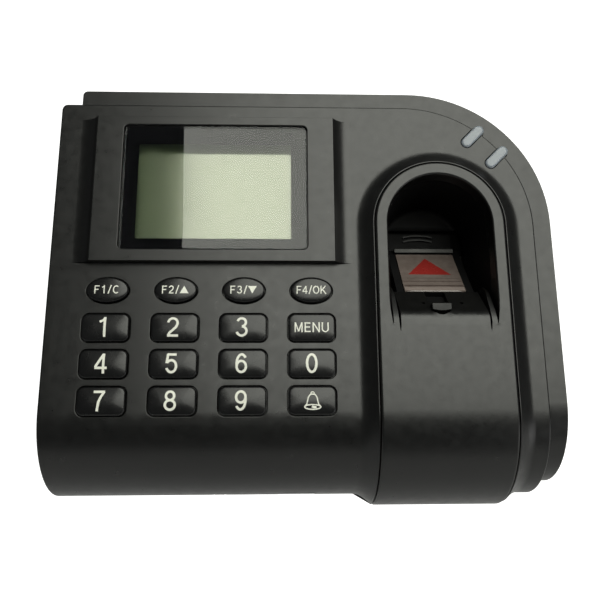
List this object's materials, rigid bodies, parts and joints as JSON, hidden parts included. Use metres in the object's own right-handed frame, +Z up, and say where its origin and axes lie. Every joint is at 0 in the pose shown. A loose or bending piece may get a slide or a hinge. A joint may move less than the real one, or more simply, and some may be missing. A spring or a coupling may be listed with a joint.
{
  "type": "fingerprint scanner terminal",
  "caption": "Wall-mounted fingerprint terminal: black two-layer case with raised display window, keypad and a pod with a hooded finger recess over a tilted optical sensor.",
  "frame": {"origin": "centre of the wall plate's rear face, on the wall plane", "axes": "+Y into the wall, so the face looks along -Y; +X to the viewer's right; +Z up the wall"},
  "size_m": [0.1832, 0.04, 0.1547],
  "materials": {
    "cover_plastic": "satin, fine moulded texture",
    "housing_plastic": "satin, fine moulded texture",
    "liner_plastic": "matt",
    "plate_steel": "zinc plated",
    "lens": "clear with black printed border",
    "light_pipe": "frosted clear",
    "key_plastic": "gloss, pale printed legends",
    "mat_rubber": "matt silicone",
    "tin": "tinned",
    "lcd": "grey green",
    "diffuser": "milky",
    "board": "green solder mask",
    "black_part": "matt",
    "terminal_plastic": "satin",
    "relay_plastic": "gloss",
    "cell_steel": "polished",
    "nylon": "satin",
    "sensor_glass": "coated glass with an arrow mark behind it",
    "screw_steel": "zinc plated",
    "ribbon": "polyimide film"
  },
  "bodies": {
    "housing": {"front_cover": "cover_plastic", "rear_housing": "housing_plastic", "wall_plate": "plate_steel", "display_lens": "lens", "sensor_bezel": "cover_plastic", "recess_liner": "liner_plastic", "light_pipe_upper": "light_pipe", "light_pipe_lower": "light_pipe", "keypad_mat": "mat_rubber", "keypad_board": "board", "lcd_frame": "tin", "lcd_glass": "lcd", "lcd_backlight": "diffuser", "lcd_board": "board", "main_board": "board", "main_chips": "black_part", "capacitors": "black_part", "network_jack": "tin", "power_jack": "black_part", "door_terminal": "terminal_plastic", "relay": "relay_plastic", "backup_cell": "cell_steel", "cell_holder": "black_part", "usb_port": "tin", "usb_board": "board", "speaker": "black_part", "tamper_spring": "screw_steel", "tamper_switch": "black_part", "reset_switch": "black_part", "sensor_housing": "liner_plastic", "sensor_prism": "sensor_glass", "sensor_clip": "plate_steel", "sensor_lens": "black_part", "sensor_camera_board": "board", "sensor_light_board": "board", "status_board": "board", "cover_screws": "screw_steel", "board_screws": "screw_steel", "bezel_screws": "screw_steel", "lock_screw": "screw_steel", "display_cable": "ribbon", "sensor_cable": "ribbon"},
    "key_f1": {"key_f1": "key_plastic"},
    "key_f2": {"key_f2": "key_plastic"},
    "key_f3": {"key_f3": "key_plastic"},
    "key_f4": {"key_f4": "key_plastic"},
    "key_1": {"key_1": "key_plastic"},
    "key_2": {"key_2": "key_plastic"},
    "key_3": {"key_3": "key_plastic"},
    "key_menu": {"key_menu": "key_plastic"},
    "key_4": {"key_4": "key_plastic"},
    "key_5": {"key_5": "key_plastic"},
    "key_6": {"key_6": "key_plastic"},
    "key_0": {"key_0": "key_plastic"},
    "key_7": {"key_7": "key_plastic"},
    "key_8": {"key_8": "key_plastic"},
    "key_9": {"key_9": "key_plastic"},
    "key_bell": {"key_bell": "key_plastic"},
    "tamper_plunger": {"tamper_plunger": "nylon"},
    "reset_button": {"reset_button": "nylon"}
  },
  "joints": [
    {"name": "key_f1_press", "type": "slide", "parent": "housing", "child": "key_f1", "axis": [0, 1, 0], "range_m": [0, 0.001], "stiffness_N_per_m": 600},
    {"name": "key_f2_press", "type": "slide", "parent": "housing", "child": "key_f2", "axis": [0, 1, 0], "range_m": [0, 0.001], "stiffness_N_per_m": 600},
    {"name": "key_f3_press", "type": "slide", "parent": "housing", "child": "key_f3", "axis": [0, 1, 0], "range_m": [0, 0.001], "stiffness_N_per_m": 600},
    {"name": "key_f4_press", "type": "slide", "parent": "housing", "child": "key_f4", "axis": [0, 1, 0], "range_m": [0, 0.001], "stiffness_N_per_m": 600},
    {"name": "key_1_press", "type": "slide", "parent": "housing", "child": "key_1", "axis": [0, 1, 0], "range_m": [0, 0.001], "stiffness_N_per_m": 600},
    {"name": "key_2_press", "type": "slide", "parent": "housing", "child": "key_2", "axis": [0, 1, 0], "range_m": [0, 0.001], "stiffness_N_per_m": 600},
    {"name": "key_3_press", "type": "slide", "parent": "housing", "child": "key_3", "axis": [0, 1, 0], "range_m": [0, 0.001], "stiffness_N_per_m": 600},
    {"name": "key_menu_press", "type": "slide", "parent": "housing", "child": "key_menu", "axis": [0, 1, 0], "range_m": [0, 0.001], "stiffness_N_per_m": 600},
    {"name": "key_4_press", "type": "slide", "parent": "housing", "child": "key_4", "axis": [0, 1, 0], "range_m": [0, 0.001], "stiffness_N_per_m": 600},
    {"name": "key_5_press", "type": "slide", "parent": "housing", "child": "key_5", "axis": [0, 1, 0], "range_m": [0, 0.001], "stiffness_N_per_m": 600},
    {"name": "key_6_press", "type": "slide", "parent": "housing", "child": "key_6", "axis": [0, 1, 0], "range_m": [0, 0.001], "stiffness_N_per_m": 600},
    {"name": "key_0_press", "type": "slide", "parent": "housing", "child": "key_0", "axis": [0, 1, 0], "range_m": [0, 0.001], "stiffness_N_per_m": 600},
    {"name": "key_7_press", "type": "slide", "parent": "housing", "child": "key_7", "axis": [0, 1, 0], "range_m": [0, 0.001], "stiffness_N_per_m": 600},
    {"name": "key_8_press", "type": "slide", "parent": "housing", "child": "key_8", "axis": [0, 1, 0], "range_m": [0, 0.001], "stiffness_N_per_m": 600},
    {"name": "key_9_press", "type": "slide", "parent": "housing", "child": "key_9", "axis": [0, 1, 0], "range_m": [0, 0.001], "stiffness_N_per_m": 600},
    {"name": "key_bell_press", "type": "slide", "parent": "housing", "child": "key_bell", "axis": [0, 1, 0], "range_m": [0, 0.001], "stiffness_N_per_m": 600},
    {"name": "tamper_press", "type": "slide", "parent": "housing", "child": "tamper_plunger", "axis": [0, -1, 0], "range_m": [0, 0.0012], "stiffness_N_per_m": 400, "deforming": ["tamper_spring"]},
    {"name": "reset_press", "type": "slide", "parent": "housing", "child": "reset_button", "axis": [0, 0, 1], "range_m": [0, 0.0004], "stiffness_N_per_m": 600}
  ]
}
